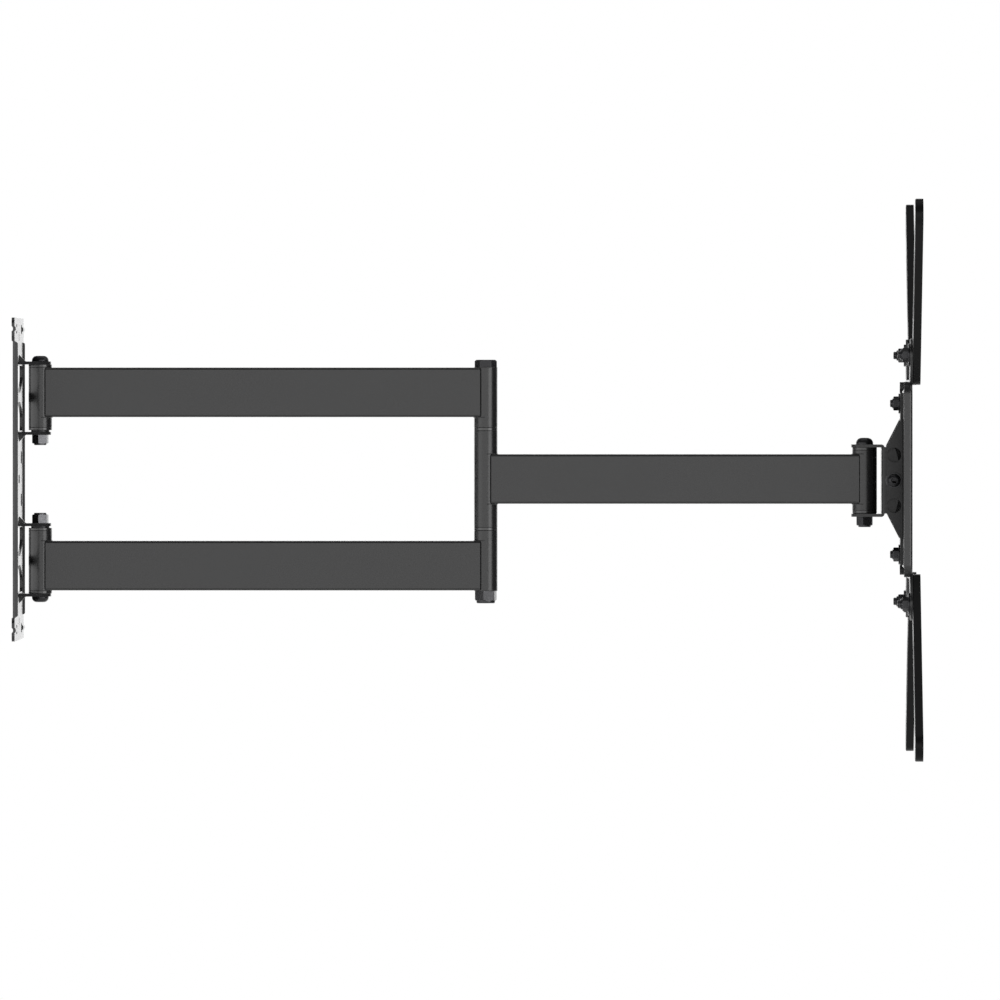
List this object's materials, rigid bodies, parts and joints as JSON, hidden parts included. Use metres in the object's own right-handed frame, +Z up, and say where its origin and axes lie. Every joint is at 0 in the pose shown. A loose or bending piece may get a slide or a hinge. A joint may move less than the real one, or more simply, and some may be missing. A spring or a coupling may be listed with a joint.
{
  "type": "full motion tv wall mount",
  "caption": "Articulated wall mount for a flat television: paired wall arms, a folding forearm, a swivel and tilt head, and a plate with swinging extension arms.",
  "frame": {"origin": "centre of the wall plate's back face, where it meets the wall", "axes": "+X straight out of the wall towards the television, +Z up, +Y to the right as seen from the room"},
  "size_m": [0.729, 0.448, 0.448],
  "materials": {
    "wall_steel": "satin black powder coat",
    "arm_steel": "satin black powder coat",
    "head_steel": "satin black powder coat",
    "plate_steel": "satin black powder coat",
    "channel_steel": "matt black powder coat",
    "black_hardware": "black zinc plated, satin",
    "nut_steel": "black zinc plated, slightly worn",
    "bush_plastic": "black moulded plastic"
  },
  "bodies": {
    "wall_plate": {"wall_plate": "wall_steel", "upper_hinge_bolt": "black_hardware", "lower_hinge_bolt": "black_hardware", "upper_hinge_nut": "nut_steel", "lower_hinge_nut": "nut_steel", "upper_hinge_washer": "black_hardware", "lower_hinge_washer": "black_hardware"},
    "arm_pair": {"upper_arm_tube": "arm_steel", "lower_arm_tube": "arm_steel", "upper_wall_barrel": "arm_steel", "lower_wall_barrel": "arm_steel", "upper_elbow_barrel": "arm_steel", "lower_elbow_barrel": "arm_steel", "upper_wall_bushes": "bush_plastic", "lower_wall_bushes": "bush_plastic", "elbow_bolt": "black_hardware", "elbow_nut": "nut_steel"},
    "forearm": {"forearm_tube": "arm_steel", "forearm_elbow_barrel": "arm_steel", "forearm_head_barrel": "arm_steel", "elbow_bushes": "bush_plastic", "head_bushes": "bush_plastic"},
    "swivel_head": {"head_clevis": "head_steel", "head_hinge_bolt": "black_hardware", "head_hinge_nut": "nut_steel", "head_hinge_washer": "black_hardware", "tilt_friction_washers": "bush_plastic"},
    "tilt_bracket": {"tilt_bracket": "head_steel", "tilt_bolt": "black_hardware", "tilt_nut": "nut_steel", "tilt_washers": "black_hardware", "level_bolts": "black_hardware", "level_nuts": "nut_steel", "level_washers": "black_hardware"},
    "tv_plate": {"vesa_plate": "plate_steel", "arm_bolts": "black_hardware", "arm_nuts": "nut_steel", "arm_washers": "black_hardware"},
    "arm_upper_right": {"extension_arm_upper_right": "channel_steel"},
    "arm_upper_left": {"extension_arm_upper_left": "channel_steel"},
    "arm_lower_left": {"extension_arm_lower_left": "channel_steel"},
    "arm_lower_right": {"extension_arm_lower_right": "channel_steel"}
  },
  "joints": [
    {"name": "wall_swivel", "type": "hinge", "parent": "wall_plate", "child": "arm_pair", "pos_m": [0.0195, 0, 0], "axis": [0, 0, 1], "range_deg": [-90, 90]},
    {"name": "elbow", "type": "hinge", "parent": "arm_pair", "child": "forearm", "pos_m": [0.3795, 0, 0], "axis": [0, 0, -1], "range_deg": [-150, 150]},
    {"name": "head_swivel", "type": "hinge", "parent": "forearm", "child": "swivel_head", "pos_m": [0.6855, 0, 0], "axis": [0, 0, 1], "range_deg": [-90, 90]},
    {"name": "tilt", "type": "hinge", "parent": "swivel_head", "child": "tilt_bracket", "pos_m": [0.709, 0, -0.001], "axis": [0, 1, 0], "range_deg": [-10, 14]},
    {"name": "level", "type": "hinge", "parent": "tilt_bracket", "child": "tv_plate", "pos_m": [0.7165, 0, 0], "axis": [1, 0, 0], "range_deg": [-3, 3]},
    {"name": "arm_upper_right_swing", "type": "hinge", "parent": "tv_plate", "child": "arm_upper_right", "pos_m": [0.7225, 0.1, 0.1], "axis": [1, 0, 0], "range_deg": [-45, 45]},
    {"name": "arm_upper_left_swing", "type": "hinge", "parent": "tv_plate", "child": "arm_upper_left", "pos_m": [0.7225, -0.1, 0.1], "axis": [1, 0, 0], "range_deg": [-45, 45]},
    {"name": "arm_lower_left_swing", "type": "hinge", "parent": "tv_plate", "child": "arm_lower_left", "pos_m": [0.7225, -0.1, -0.1], "axis": [1, 0, 0], "range_deg": [-45, 45]},
    {"name": "arm_lower_right_swing", "type": "hinge", "parent": "tv_plate", "child": "arm_lower_right", "pos_m": [0.7225, 0.1, -0.1], "axis": [1, 0, 0], "range_deg": [-45, 45]}
  ]
}
